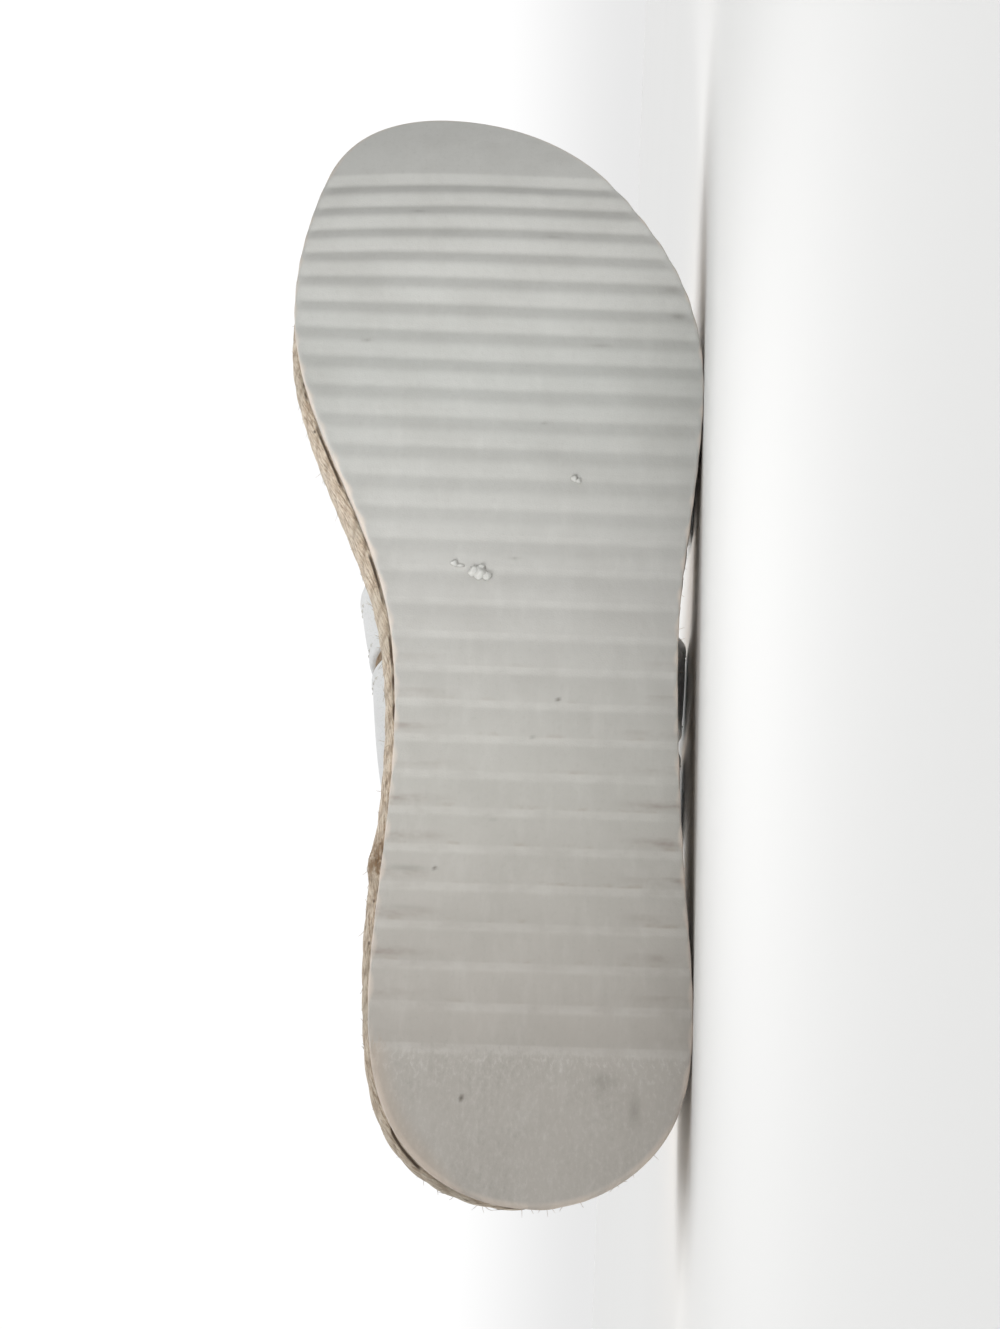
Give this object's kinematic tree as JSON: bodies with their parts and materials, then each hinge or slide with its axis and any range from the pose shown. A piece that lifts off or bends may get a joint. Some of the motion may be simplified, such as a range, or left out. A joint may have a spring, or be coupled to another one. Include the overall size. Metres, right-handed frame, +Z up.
{
  "type": "espadrille wedge sandal",
  "caption": "Left espadrille wedge sandal on its outer side: ribbed rubber outsole, wedge wound with jute cord, leather insole, white toe band and instep straps.",
  "frame": {"origin": "centre of the bounding box's lower face, on the floor", "axes": "+X towards the toe, +Y from the sole to the straps, +Z up out of the shoe's inner side, as it lies"},
  "size_m": [0.2598, 0.1186, 0.0974],
  "materials": {
    "outsole_rubber": "matt off-white, scuffed",
    "jute_cord": "natural twisted cord",
    "insole_leather": "smooth tan",
    "strap_leather": "white, fine grain"
  },
  "bodies": {
    "root": {"outsole": "outsole_rubber", "jute_wedge": "jute_cord", "insole": "insole_leather", "toe_band": "strap_leather", "instep_strap_front": "strap_leather", "instep_strap_rear": "strap_leather"}
  },
  "joints": []
}
